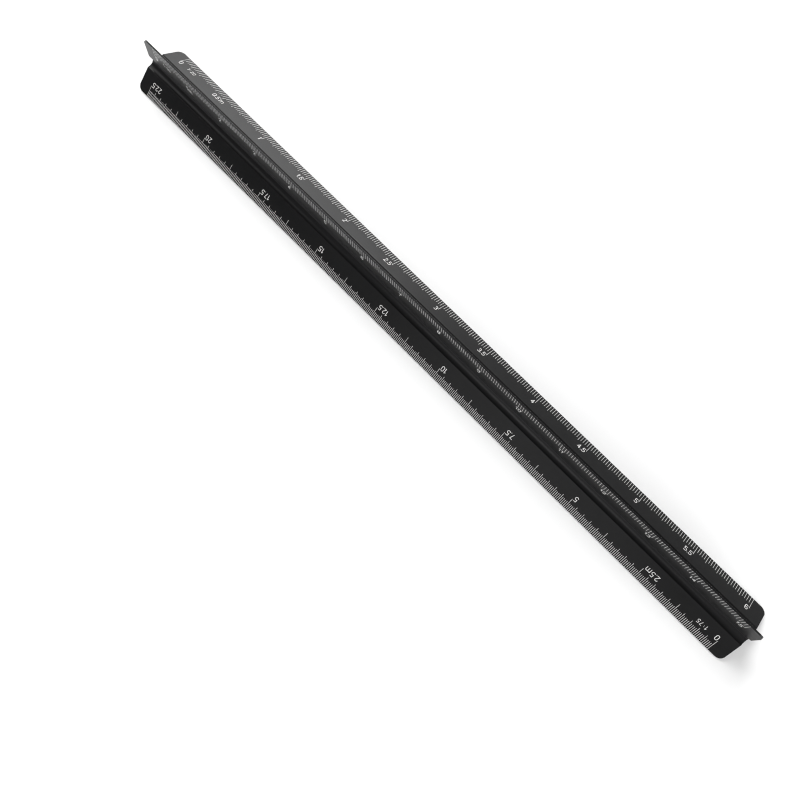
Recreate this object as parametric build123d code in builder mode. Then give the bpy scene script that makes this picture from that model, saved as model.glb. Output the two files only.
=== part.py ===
from build123d import *
from math import atan2, cos, degrees, radians, sin, tan
import os

os.makedirs("parts", exist_ok=True)

# Triangular scale ruler: one aluminium extrusion with three blades, and the white marks of six scales.
# X runs along the ruler, +Z is the upright blade, and the ruler rests on the edges of the other two.

# Body (mm and degrees)
LENGTH = 311.0
BLADE_REACH = 13.5  # from the ruler's axis to the outer edge of a blade
EDGE_THICKNESS = 0.6  # of a blade at its outer edge
TAPER = 7.0  # lean of each blade face, so that the blade thickens towards the core
FLUTE_RADIUS = 2.6
FLUTE_OFFSET = 3.7  # from the ruler's axis to the centre of a flute
CORNER_RADIUS = 2.4  # outer corners of the blades at both ends
SHOULDER_ROUND = 0.2  # where a blade face turns down into a flute
EDGE_ROUND = 0.05  # along both arrises of a blade's outer edge

# Marks (mm)
SCALE_LENGTH = 300.0
INK = 0.01  # height of the white marks above the blade face
LINE_WIDTH = 0.12  # of a graduation line
EDGE_GAP = 0.05  # from the blade's arris to the outer end of a line
NUMERAL_TOP = 4.55  # from the arris to the top of the numerals
NUMERAL_HEIGHT = 2.2
NUMERAL_STROKE = 0.23
NUMERAL_GAP = 0.35  # between the middle of a long line and the numeral beside it
CHARACTER_GAP = 0.46
POINT_GAP = 0.27  # on both sides of a decimal point
COLON_GAP = 0.85  # on both sides of a colon
CAPTION_HEIGHT = 1.65
RISE = NUMERAL_HEIGHT - NUMERAL_STROKE  # of the numerals' centre line
X_RISE = 0.72 * RISE  # of the unit letter's centre line

# Each scale: its blade's angle about X from +Y, the side of that blade, the metres that the whole scale
# reads, the number of smallest steps, the steps to a medium line, a long line and a numeral, the inner ends
# of the medium and long lines, the start of the ratio caption, and whether the unit stands after its line.
SCALES = {
    20: dict(blade=330, side=1, span=6.0, steps=300, medium=5, long=25, numeral=25,
             medium_line=3.8, long_line=5.3, caption=5.1, unit_after=True),
    25: dict(blade=90, side=-1, span=7.5, steps=375, medium=5, long=25, numeral=25,
             medium_line=3.7, long_line=4.85, caption=5.1, unit_after=False),
    50: dict(blade=90, side=1, span=15.0, steps=300, medium=2, long=20, numeral=20,
             medium_line=3.9, long_line=4.85, caption=5.1, unit_after=True),
    75: dict(blade=210, side=-1, span=22.5, steps=450, medium=5, long=25, numeral=50,
             medium_line=3.7, long_line=4.85, caption=5.1, unit_after=False),
    100: dict(blade=330, side=-1, span=30.0, steps=300, medium=5, long=10, numeral=10,
              medium_line=3.8, long_line=4.85, caption=2.3, unit_after=True),
    125: dict(blade=210, side=1, span=37.5, steps=375, medium=5, long=25, numeral=25,
              medium_line=3.7, long_line=4.85, caption=5.1, unit_after=True),
}
BLADES = (90, 210, 330)

# The rounded arris of a resting blade touches the table; this is the height of the ruler's axis above it.
ARRIS_INSET = EDGE_ROUND * (1 - sin(radians(TAPER))) / cos(radians(TAPER))
AXIS_HEIGHT = (
    (BLADE_REACH - EDGE_ROUND) * sin(radians(30))
    + (EDGE_THICKNESS / 2 - ARRIS_INSET) * cos(radians(30))
    + EDGE_ROUND
)


def outward(blade):
    """Unit vector from the ruler's axis along a blade."""
    return Vector(0, cos(radians(blade)), sin(radians(blade)))


def blade_corner_plane(blade, end):
    """Plane in the middle of a blade, at its outer corner, with x towards that end and y outwards."""
    along = Vector(end, 0, 0)
    corner = along * (LENGTH / 2) + outward(blade) * BLADE_REACH + Vector(0, 0, AXIS_HEIGHT)
    return Plane(origin=corner, x_dir=along, z_dir=along.cross(outward(blade)))


def face_plane(blade, side):
    """Plane of a blade face: origin at the zero line on the arris, x along the reading, y outwards."""
    reading = Vector(side, 0, 0)
    square_on = reading.cross(outward(blade))
    normal = square_on * cos(radians(TAPER)) + outward(blade) * sin(radians(TAPER))
    arris = outward(blade) * BLADE_REACH + square_on * (EDGE_THICKNESS / 2)
    zero_line = arris - reading * (SCALE_LENGTH / 2) + Vector(0, 0, AXIS_HEIGHT)
    return Plane(origin=zero_line, x_dir=reading, z_dir=normal)


# Body
root_thickness = EDGE_THICKNESS + 2 * BLADE_REACH * tan(radians(TAPER))
end_plane = Plane(origin=(-LENGTH / 2, 0, AXIS_HEIGHT), x_dir=(0, 1, 0), z_dir=(1, 0, 0))
with BuildPart() as rule_body:
    with BuildSketch(end_plane) as section:
        with PolarLocations(0, len(BLADES), start_angle=BLADES[0]):
            Polygon(
                (0, -root_thickness / 2),
                (BLADE_REACH, -EDGE_THICKNESS / 2),
                (BLADE_REACH, EDGE_THICKNESS / 2),
                (0, root_thickness / 2),
                align=None,
            )
        with PolarLocations(FLUTE_OFFSET, len(BLADES), start_angle=BLADES[0] + 60):
            Circle(FLUTE_RADIUS, mode=Mode.SUBTRACT)
        tips = section.vertices().filter_by(lambda v: Vector(v).length > BLADE_REACH - 1)
        fillet(tips, radius=EDGE_ROUND)
        shoulders = section.vertices().filter_by(
            lambda v: FLUTE_OFFSET - FLUTE_RADIUS + 0.5 < Vector(v).length < BLADE_REACH / 2
        )
        fillet(shoulders, radius=SHOULDER_ROUND)
    extrude(amount=LENGTH)
    for blade in BLADES:
        for end in (-1, 1):
            with BuildSketch(blade_corner_plane(blade, end)):
                Rectangle(2 * CORNER_RADIUS, 2 * CORNER_RADIUS)
                with Locations((-CORNER_RADIUS, -CORNER_RADIUS)):
                    Circle(CORNER_RADIUS, mode=Mode.SUBTRACT)
            extrude(amount=root_thickness / 2, both=True, mode=Mode.SUBTRACT)
rule_body.part.label = "rule_body"
export_step(rule_body.part, "parts/rule_body.step")


# Characters of single even strokes with round ends, on a centre line 1 wide and RISE high
def straight(*points):
    """Round-ended strokes from point to point."""
    for start, finish in zip(points, points[1:]):
        run = Vector(*finish) - Vector(*start)
        with Locations((Vector(*start) + Vector(*finish)) * 0.5):
            SlotCenterToCenter(run.length, NUMERAL_STROKE, rotation=degrees(atan2(run.Y, run.X)))


def bow(centre, radius, start, sweep):
    """A round-ended stroke along an arc, from a start angle through a sweep."""
    SlotArc(CenterArc(centre, radius, start, sweep), NUMERAL_STROKE)


def ring(centre, radius):
    """A closed round stroke."""
    with Locations(centre):
        Circle(radius + NUMERAL_STROKE / 2)
        Circle(radius - NUMERAL_STROKE / 2, mode=Mode.SUBTRACT)


def draw_0():
    straight((0, 0.5), (0, RISE - 0.5))
    straight((1, 0.5), (1, RISE - 0.5))
    bow((0.5, 0.5), 0.5, 180, 180)
    bow((0.5, RISE - 0.5), 0.5, 0, 180)


def draw_1():
    straight((0, RISE - 0.45), (0.45, RISE), (0.45, 0))


def draw_2():
    bow((0.5, RISE - 0.5), 0.5, 165, -205)
    straight((0.5 + 0.5 * cos(radians(40)), RISE - 0.5 - 0.5 * sin(radians(40))), (0, 0), (1, 0))


def draw_3():
    waist = 0.51 * RISE
    bow((0.45, (RISE + waist) / 2), (RISE - waist) / 2, 150, -240)
    bow((0.45, waist / 2), waist / 2, 90, -240)


def draw_4():
    straight((0.8, 0), (0.8, RISE), (0, 0.52), (1.1, 0.52))


def draw_5():
    straight((0.95, RISE), (0.12, RISE), (0.06, 1.0))
    bow((0.43, 0.57), 0.57, 130, -280)


def draw_6():
    ring((0.52, 0.52), 0.52)
    straight((0, 0.52), (0, RISE - 0.5))
    bow((0.5, RISE - 0.5), 0.5, 180, -150)


def draw_7():
    straight((0, RISE), (1, RISE), (0.35, 0))


def draw_8():
    waist = 0.53 * RISE
    ring((0.5, waist / 2), waist / 2)
    ring((0.5, (RISE + waist) / 2), (RISE - waist) / 2)


def draw_9():
    ring((0.48, RISE - 0.52), 0.52)
    straight((1, RISE - 0.52), (1, 0.5))
    bow((0.5, 0.5), 0.5, 0, -150)


def draw_m():
    straight((0, 0), (0, X_RISE))
    for left in (0, 0.9):
        bow((left + 0.45, X_RISE - 0.45), 0.45, 0, 180)
        straight((left + 0.9, 0), (left + 0.9, X_RISE - 0.45))


def draw_point():
    Circle(0.6 * NUMERAL_STROKE)


def draw_colon():
    with Locations((0, 0.35 * RISE), (0, 0.75 * RISE)):
        Circle(0.6 * NUMERAL_STROKE)


DRAWN = {"0": draw_0, "1": draw_1, "2": draw_2, "3": draw_3, "4": draw_4, "5": draw_5, "6": draw_6,
         "7": draw_7, "8": draw_8, "9": draw_9, "m": draw_m, ".": draw_point, ":": draw_colon}
characters = {}
for name, draw in DRAWN.items():
    with BuildSketch() as character:
        draw()
    box = character.sketch.bounding_box()
    characters[name] = character.sketch.moved(Location((-box.min.X, NUMERAL_STROKE / 2)))


def gap(pair):
    """Space between two characters at full size."""
    if "." in pair:
        return POINT_GAP
    return COLON_GAP if ":" in pair else CHARACTER_GAP


def starts(text):
    """Where each character of a line starts, at full size, and where the line ends."""
    places = [0.0]
    for this, following in zip(text, text[1:] + " "):
        places.append(places[-1] + characters[this].bounding_box().size.X + gap(this + following))
    places[-1] -= CHARACTER_GAP
    return places


def write(text, left, foot, size=1.0):
    """Add a line of characters to the sketch, starting at left and standing on foot."""
    for c, start in zip(text, starts(text)):
        add(characters[c].scale(size).moved(Location((left + size * start, foot))))


def lines_at(scale, kind):
    """Distances from the zero line to the long or the medium lines."""
    pitch = SCALE_LENGTH / scale["steps"]
    marked = range(0, scale["steps"] + 1, scale[kind])
    return [n * pitch for n in marked if kind == "long" or n % scale["long"] != 0]


def finish(mark, name):
    """Label a mark's part and write it."""
    mark.part.label = name
    export_step(mark.part, f"parts/{name}.step")


numeral_foot = -NUMERAL_TOP - NUMERAL_HEIGHT
caption_size = CAPTION_HEIGHT / NUMERAL_HEIGHT
for ratio, scale in SCALES.items():
    plane = face_plane(scale["blade"], scale["side"])
    inner_ends = {"medium": scale["medium_line"], "long": scale["long_line"]}
    for kind, inner_end in inner_ends.items():
        reach = inner_end - EDGE_GAP
        with BuildPart() as lines:
            with BuildSketch(plane):
                with Locations([(x, -EDGE_GAP - reach / 2) for x in lines_at(scale, kind)]):
                    Rectangle(LINE_WIDTH, reach)
            extrude(amount=INK)
        finish(lines, f"{kind}_lines_1_{ratio}")
    with BuildPart() as numerals:
        with BuildSketch(plane):
            write("0", NUMERAL_GAP, numeral_foot)
            for number in range(scale["numeral"], scale["steps"] + 1, scale["numeral"]):
                value = f"{number * scale['span'] / scale['steps']:g}"
                x = number * SCALE_LENGTH / scale["steps"]
                if number == scale["numeral"] and scale["unit_after"]:
                    write("m", x + NUMERAL_GAP, numeral_foot)
                elif number == scale["numeral"]:
                    value += "m"
                write(value, x - NUMERAL_GAP - starts(value)[-1], numeral_foot)
        extrude(amount=INK)
    finish(numerals, f"numerals_1_{ratio}")
    with BuildPart() as caption:
        with BuildSketch(plane):
            write(f"1:{ratio}", scale["caption"], -NUMERAL_TOP - CAPTION_HEIGHT, caption_size)
        extrude(amount=INK)
    finish(caption, f"caption_1_{ratio}")
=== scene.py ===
import math

import bmesh
import bpy
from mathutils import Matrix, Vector

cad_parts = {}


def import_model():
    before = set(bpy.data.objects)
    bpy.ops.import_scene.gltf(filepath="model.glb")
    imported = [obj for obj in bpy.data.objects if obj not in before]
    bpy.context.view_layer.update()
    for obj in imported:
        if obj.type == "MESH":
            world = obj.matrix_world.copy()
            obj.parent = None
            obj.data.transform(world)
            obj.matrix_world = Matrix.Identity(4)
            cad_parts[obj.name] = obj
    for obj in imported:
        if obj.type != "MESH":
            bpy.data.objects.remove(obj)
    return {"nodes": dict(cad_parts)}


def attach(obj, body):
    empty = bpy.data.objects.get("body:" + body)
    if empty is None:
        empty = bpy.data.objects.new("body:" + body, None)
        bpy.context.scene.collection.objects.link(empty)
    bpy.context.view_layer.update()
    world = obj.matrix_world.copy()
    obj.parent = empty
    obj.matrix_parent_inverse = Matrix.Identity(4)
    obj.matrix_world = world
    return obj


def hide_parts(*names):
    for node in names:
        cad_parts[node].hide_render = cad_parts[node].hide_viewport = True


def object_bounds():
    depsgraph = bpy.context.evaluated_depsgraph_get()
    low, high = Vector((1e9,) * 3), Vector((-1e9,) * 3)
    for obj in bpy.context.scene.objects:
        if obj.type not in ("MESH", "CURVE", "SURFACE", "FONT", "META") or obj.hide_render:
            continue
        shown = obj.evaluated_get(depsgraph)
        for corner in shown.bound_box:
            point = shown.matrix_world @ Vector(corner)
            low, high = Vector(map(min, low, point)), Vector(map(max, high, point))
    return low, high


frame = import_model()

# Looks of a black anodised triangular scale ruler: satin black body, white filled graduation.
# Metres, in the frame of the CAD model: X along the ruler, +Z the upright blade, table at Z = 0.

cad_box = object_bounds()

# Camera: above the ruler, a little to the side of its middle, looking down along its length
CAMERA_PLACE = Vector((0.07531, -0.06314, 0.30474))
CAMERA_ANGLES = (12.854, 2.938, 46.155)  # degrees about X, Y and Z, from straight down
LENS = 38.16
SENSOR = 36.0
NEAREST = 0.01  # that the camera sees
PIXEL_FILTER = 1.15  # width in pixels

# Light: square soft boxes round the ruler, as azimuth and elevation in degrees and power in watts
SOFT_BOX_SIZE = 0.56
SOFT_BOX_DISTANCE = 1.2
SOFT_BOXES = {
    "low_back_left": (120, 18, 7.5),
    "low_left": (180, 18, 6.5),
    "low_front_right": (330, 18, 8.5),
    "low_front": (270, 18, 1.0),
    "low_right": (10, 18, 4.0),
    "high_back_left": (135, 50, 8.5),
    "high_left": (180, 50, 1.6),
    "high_front": (270, 50, 2.7),
    "high_right": (0, 50, 1.2),
    "top": (0, 90, 0.3),
}
FILL = 0.1  # strength of the light from all round
BACKDROP = 1.0  # strength of the background that the camera sees past the floor
FLOOR_RADIUS = 0.6
FLOOR_GAP = 0.00005  # under the resting arrises
FLOOR_POINTS = 128

# Section of the ruler
MM = 0.001
BLADES = (90, 210, 330)  # degrees about X, from +Y
BLADE_REACH = 13.5 * MM
EDGE_THICKNESS = 0.6 * MM
TAPER = math.radians(7.0)
FLUTE_RADIUS = 2.6 * MM
FLUTE_OFFSET = 3.7 * MM
SHOULDER_ROUND = 0.2 * MM
EDGE_ROUND = 0.05 * MM
CORNER_RADIUS = 2.4 * MM
DEBURR = 0.03 * MM  # rounding of the cut ends
SUPPORT = 0.15 * MM  # from a rounding to the next row of points on a flat
EDGE_STEPS = 5  # of the outline's rounding at an arris
SHOULDER_STEPS = 8
FLUTE_STEPS = 40  # from a shoulder to the bottom of the flute
CORNER_STEPS = 16
DEBURR_STEPS = 3
LENGTH_STEPS = 16  # along half of the ruler
SMOOTH_ANGLE = math.radians(35)  # sharper edges than this stay sharp in the shading
SCALE_LENGTH = 0.3
AXIS_HEIGHT = cad_box[1].z - BLADE_REACH
HALF_LENGTH = cad_box[1].x

# Marks
INK = 0.01 * MM
LINE_WIDTH = 0.12 * MM
EDGE_GAP = 0.05 * MM

# Corner numbers of a block's faces, with 0 to 3 round its foot and 4 to 7 above them
BLOCK_FACES = (
    (3, 2, 1, 0),
    (4, 5, 6, 7),
    (0, 1, 5, 4),
    (1, 2, 6, 5),
    (2, 3, 7, 6),
    (3, 0, 4, 7),
)

# Each scale: its blade's angle about X from +Y, the side of that blade, the number of smallest steps,
# the steps to a medium line and the inner end of the short lines
SCALES = {
    20: dict(blade=330, side=1, steps=300, medium=5, short_line=3.1 * MM),
    25: dict(blade=90, side=-1, steps=375, medium=5, short_line=2.8 * MM),
    50: dict(blade=90, side=1, steps=300, medium=2, short_line=3.6 * MM),
    75: dict(blade=210, side=-1, steps=450, medium=5, short_line=2.8 * MM),
    100: dict(blade=330, side=-1, steps=300, medium=5, short_line=2.9 * MM),
    125: dict(blade=210, side=1, steps=375, medium=5, short_line=2.8 * MM),
}


def place_object(name, data):
    """Put a mesh, light or camera into the scene as an object."""
    item = bpy.data.objects.new(name, data)
    bpy.context.scene.collection.objects.link(item)
    return item


# Materials
def node_material(name):
    """A material with its Principled shader, and a function that adds linked nodes to it."""
    material = bpy.data.materials.new(name)
    material.use_nodes = True
    tree = material.node_tree
    shader = tree.nodes["Principled BSDF"]

    def add(kind, settings=None, **inputs):
        node = tree.nodes.new(kind)
        for key, value in (settings or {}).items():
            setattr(node, key, value)
        for key, value in inputs.items():
            socket = node.inputs[key.replace("_", " ")]
            if isinstance(value, bpy.types.NodeSocket):
                tree.links.new(value, socket)
            else:
                socket.default_value = value
        return node

    def link(output, target):
        tree.links.new(output, shader.inputs[target])

    return material, shader, add, link


def anodised():
    """Satin black anodising: a fine matt grain, and faint long streaks from the extrusion die."""
    material, shader, add, link = node_material("anodising")
    place = add("ShaderNodeTexCoord").outputs["Object"]
    streak_place = add("ShaderNodeMapping", Vector=place, Scale=(20.0, 3000.0, 3000.0))
    streaks = add("ShaderNodeTexNoise", Vector=streak_place.outputs[0], Scale=1.0, Detail=3.0)
    grain = add("ShaderNodeTexNoise", Vector=place, Scale=6000.0, Detail=2.0)
    cloud = add("ShaderNodeTexNoise", Vector=place, Scale=60.0, Detail=3.0)
    tone = add("ShaderNodeMapRange", Value=cloud.outputs["Fac"], From_Min=0.3, From_Max=0.7,
               To_Min=0.0, To_Max=1.0)
    colour = add("ShaderNodeMix", {"data_type": "RGBA"})
    colour.inputs["A"].default_value = (0.0050, 0.0050, 0.0054, 1)
    colour.inputs["B"].default_value = (0.0062, 0.0062, 0.0066, 1)
    material.node_tree.links.new(tone.outputs[0], colour.inputs["Factor"])
    link(colour.outputs["Result"], "Base Color")
    rough = add("ShaderNodeMapRange", Value=streaks.outputs["Fac"], From_Min=0.3, From_Max=0.7,
                To_Min=0.30, To_Max=0.38)
    link(rough.outputs[0], "Roughness")
    shader.inputs["Specular IOR Level"].default_value = 0.25
    relief = add("ShaderNodeBump", Height=streaks.outputs["Fac"], Strength=0.05, Distance=0.0001)
    bump = add("ShaderNodeBump", Height=grain.outputs["Fac"], Normal=relief.outputs[0],
               Strength=0.10, Distance=0.00005)
    link(bump.outputs[0], "Normal")
    return material


def white_fill():
    """White filling of the marks, a little uneven."""
    material, shader, add, link = node_material("white_filling")
    place = add("ShaderNodeTexCoord").outputs["Object"]
    cover = add("ShaderNodeTexNoise", Vector=place, Scale=2500.0, Detail=3.0)
    colour = add("ShaderNodeMix", {"data_type": "RGBA"}, Factor=cover.outputs["Fac"])
    colour.inputs["A"].default_value = (0.60, 0.60, 0.59, 1)
    colour.inputs["B"].default_value = (0.76, 0.76, 0.75, 1)
    link(colour.outputs["Result"], "Base Color")
    shader.inputs["Roughness"].default_value = 0.6
    bump = add("ShaderNodeBump", Height=cover.outputs["Fac"], Strength=0.1, Distance=0.00002)
    link(bump.outputs[0], "Normal")
    return material


def floor_material():
    """Plain pale studio floor."""
    material, shader, _, _ = node_material("floor")
    shader.inputs["Base Color"].default_value = (0.88, 0.88, 0.88, 1)
    shader.inputs["Roughness"].default_value = 0.8
    shader.inputs["Specular IOR Level"].default_value = 0.1
    return material


BLACK = anodised()
WHITE = white_fill()
for name, node in frame["nodes"].items():
    material = BLACK if name == "rule_body" else WHITE
    for material_slot in node.material_slots:
        material_slot.material = material


# Body
def outward(blade):
    """Unit vector from the ruler's axis along a blade."""
    angle = math.radians(blade)
    return Vector((0, math.cos(angle), math.sin(angle)))


def arc(centre, radius, start, stop, steps, hollow=False):
    """Points on an arc and the way out of the metal at each, with angles in radians."""
    points = []
    for step in range(steps + 1):
        angle = start + (stop - start) * step / steps
        way = Vector((math.cos(angle), math.sin(angle)))
        points.append((centre + way * radius, -way if hollow else way))
    return points


def half_blade(reach):
    """Half of a blade's outline in its own plane, from the middle of its edge to the bottom of the flute.

    x runs outwards from the ruler's axis and y across the blade.
    """
    normal = Vector((math.sin(TAPER), math.cos(TAPER)))
    down_face = Vector((-math.cos(TAPER), math.sin(TAPER)))
    half_edge = EDGE_THICKNESS / 2 + (BLADE_REACH - reach) * math.tan(TAPER)
    corner = Vector((reach, half_edge))
    edge_centre = Vector((reach - EDGE_ROUND, 0))
    edge_centre.y = half_edge + (EDGE_ROUND * math.sin(TAPER) - EDGE_ROUND) / math.cos(TAPER)
    flute_way = math.radians(60)  # the flute lies halfway to the next blade
    flute = Vector((math.cos(flute_way), math.sin(flute_way))) * FLUTE_OFFSET
    # The shoulder's round touches the face, and the flute from outside
    on_face = corner - normal * SHOULDER_ROUND
    span = FLUTE_RADIUS + SHOULDER_ROUND
    along = (flute - on_face).dot(down_face)
    off = (flute - on_face).dot(normal)
    shoulder = on_face + down_face * (along - math.sqrt(span ** 2 - off ** 2))
    face_angle = math.atan2(normal.y, normal.x)
    to_flute = flute - shoulder
    flute_angle = math.atan2(to_flute.y, to_flute.x)
    outline = [(Vector((reach, 0)), Vector((1, 0)))]
    outline += arc(edge_centre, EDGE_ROUND, 0, face_angle, EDGE_STEPS)
    edge_end = edge_centre + normal * EDGE_ROUND
    shoulder_start = shoulder + normal * SHOULDER_ROUND
    outline.append((edge_end + down_face * SUPPORT, normal))
    outline.append((shoulder_start - down_face * SUPPORT, normal))
    outline += arc(shoulder, SHOULDER_ROUND, face_angle, flute_angle, SHOULDER_STEPS)
    bottom = flute_way - math.pi
    outline += arc(flute, FLUTE_RADIUS, flute_angle - math.pi, bottom, FLUTE_STEPS, hollow=True)[1:]
    return outline


def section(reach, inset):
    """The whole outline at one place along the ruler, moved into the metal by inset."""
    ring = []
    half = half_blade(reach)
    for blade in BLADES:
        out = outward(blade)
        across = Vector((1, 0, 0)).cross(out)
        mirrored = [(point, way, -1) for point, way in reversed(half[1:])]
        for point, way, side in mirrored + [(point, way, 1) for point, way in half[:-1]]:
            inner = point - way * inset
            ring.append(out * inner.x + across * (side * inner.y) + Vector((0, 0, AXIS_HEIGHT)))
    return ring


def stations():
    """Places along the ruler from its middle to one end, as distance, blade reach and inset."""
    corner_start = HALF_LENGTH - CORNER_RADIUS
    places = [(corner_start * step / LENGTH_STEPS, BLADE_REACH, 0) for step in range(LENGTH_STEPS + 1)]
    last = HALF_LENGTH - DEBURR
    for step in range(1, CORNER_STEPS + 1):
        angle = math.pi / 2 * step / CORNER_STEPS
        x = min(corner_start + CORNER_RADIUS * math.sin(angle), last)
        drop = CORNER_RADIUS - math.sqrt(CORNER_RADIUS ** 2 - (x - corner_start) ** 2)
        places.append((x, BLADE_REACH - drop, 0))
    end_reach = places[-1][1]
    for step in range(1, DEBURR_STEPS + 1):
        angle = math.pi / 2 * step / DEBURR_STEPS
        places.append((last + DEBURR * math.sin(angle), end_reach, DEBURR * (1 - math.cos(angle))))
    return places


def body():
    """The extruded body with fine roundings, in place of the CAD body's coarser mesh."""
    half = stations()
    places = [(-x, reach, inset) for x, reach, inset in reversed(half[1:])] + half
    mesh = bmesh.new()
    rows = []
    for x, reach, inset in places:
        rows.append([mesh.verts.new((x, point.y, point.z)) for point in section(reach, inset)])
    count = len(rows[0])
    for row, following in zip(rows, rows[1:]):
        for i in range(count):
            j = (i + 1) % count
            mesh.faces.new((row[i], row[j], following[j], following[i]))
    mesh.faces.new(list(reversed(rows[0])))
    mesh.faces.new(rows[-1])
    bmesh.ops.recalc_face_normals(mesh, faces=mesh.faces)
    data = bpy.data.meshes.new("anodised_body")
    mesh.to_mesh(data)
    mesh.free()
    data.shade_smooth()
    data.set_sharp_from_angle(angle=SMOOTH_ANGLE)
    data.materials.append(BLACK)
    piece = place_object(data.name, data)
    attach(piece, "root")
    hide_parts("rule_body")


body()


# Short graduation lines
def face_frame(blade, side):
    """Zero line's place on the arris, the reading direction, the way to the edge and the face's normal."""
    reading = Vector((side, 0, 0))
    square_on = reading.cross(outward(blade))
    normal = square_on * math.cos(TAPER) + outward(blade) * math.sin(TAPER)
    arris = outward(blade) * BLADE_REACH + square_on * (EDGE_THICKNESS / 2)
    zero = arris - reading * (SCALE_LENGTH / 2) + Vector((0, 0, AXIS_HEIGHT))
    return zero, reading, normal.cross(reading), normal


def short_lines(ratio, scale):
    """The lines of the smallest step of one scale, each a thin block on the blade face."""
    zero, reading, to_edge, normal = face_frame(scale["blade"], scale["side"])
    pitch = SCALE_LENGTH / scale["steps"]
    outer, inner = EDGE_GAP, scale["short_line"]
    mesh = bmesh.new()
    for step in range(scale["steps"] + 1):
        if step % scale["medium"] == 0:
            continue
        corners = []
        for height in (0, INK):
            for x, y in ((-1, outer), (1, outer), (1, inner), (-1, inner)):
                along = step * pitch + x * LINE_WIDTH / 2
                corners.append(mesh.verts.new(zero + reading * along - to_edge * y + normal * height))
        for face in BLOCK_FACES:
            mesh.faces.new([corners[i] for i in face])
    bmesh.ops.recalc_face_normals(mesh, faces=mesh.faces)
    data = bpy.data.meshes.new(f"short_lines_1_{ratio}")
    mesh.to_mesh(data)
    mesh.free()
    data.materials.append(WHITE)
    lines = place_object(data.name, data)
    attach(lines, "root")


for ratio, scale in SCALES.items():
    short_lines(ratio, scale)


# Stage
def floor():
    """A round pale table top, as far as the soft boxes light it evenly."""
    bpy.ops.mesh.primitive_circle_add(vertices=FLOOR_POINTS, radius=FLOOR_RADIUS, fill_type="NGON")
    plane = bpy.context.object
    plane.name = "floor"
    plane.location.z = -FLOOR_GAP
    plane.data.materials.append(floor_material())


def soft_box(name, azimuth, elevation, power):
    """A square light on a sphere round the ruler, turned to its middle; the angles are in degrees."""
    turn, lift = math.radians(azimuth), math.radians(elevation)
    way = Vector((math.cos(turn) * math.cos(lift), math.sin(turn) * math.cos(lift), math.sin(lift)))
    data = bpy.data.lights.new(name, "AREA")
    data.size = SOFT_BOX_SIZE
    data.energy = power
    light = place_object(name, data)
    light.location = way * SOFT_BOX_DISTANCE
    light.rotation_euler = (-way).to_track_quat("-Z", "Y").to_euler()
    light.visible_camera = False


def world():
    """Dim fill from all round; the camera sees a pale backdrop past the floor's end."""
    backdrop = bpy.data.worlds.new("studio")
    backdrop.use_nodes = True
    tree = backdrop.node_tree
    rays = tree.nodes.new("ShaderNodeLightPath")
    brightness = tree.nodes.new("ShaderNodeMapRange")
    brightness.inputs["To Min"].default_value = FILL
    brightness.inputs["To Max"].default_value = BACKDROP
    tree.links.new(rays.outputs["Is Camera Ray"], brightness.inputs["Value"])
    background = tree.nodes["Background"]
    background.inputs["Color"].default_value = (1, 1, 1, 1)
    tree.links.new(brightness.outputs[0], background.inputs["Strength"])
    bpy.context.scene.world = backdrop


def camera():
    """One camera above the ruler; it sees the whole length."""
    data = bpy.data.cameras.new("camera")
    data.lens = LENS
    data.sensor_width = SENSOR
    data.clip_start = NEAREST
    eye = place_object("camera", data)
    eye.location = CAMERA_PLACE
    eye.rotation_euler = [math.radians(angle) for angle in CAMERA_ANGLES]
    bpy.context.scene.camera = eye


floor()
world()
for name, (azimuth, elevation, power) in SOFT_BOXES.items():
    soft_box(name, azimuth, elevation, power)
camera()
bpy.context.scene.view_settings.view_transform = "Standard"
bpy.context.scene.cycles.denoising_prefilter = "NONE"  # keeps the fine marks
bpy.context.scene.cycles.filter_width = PIXEL_FILTER
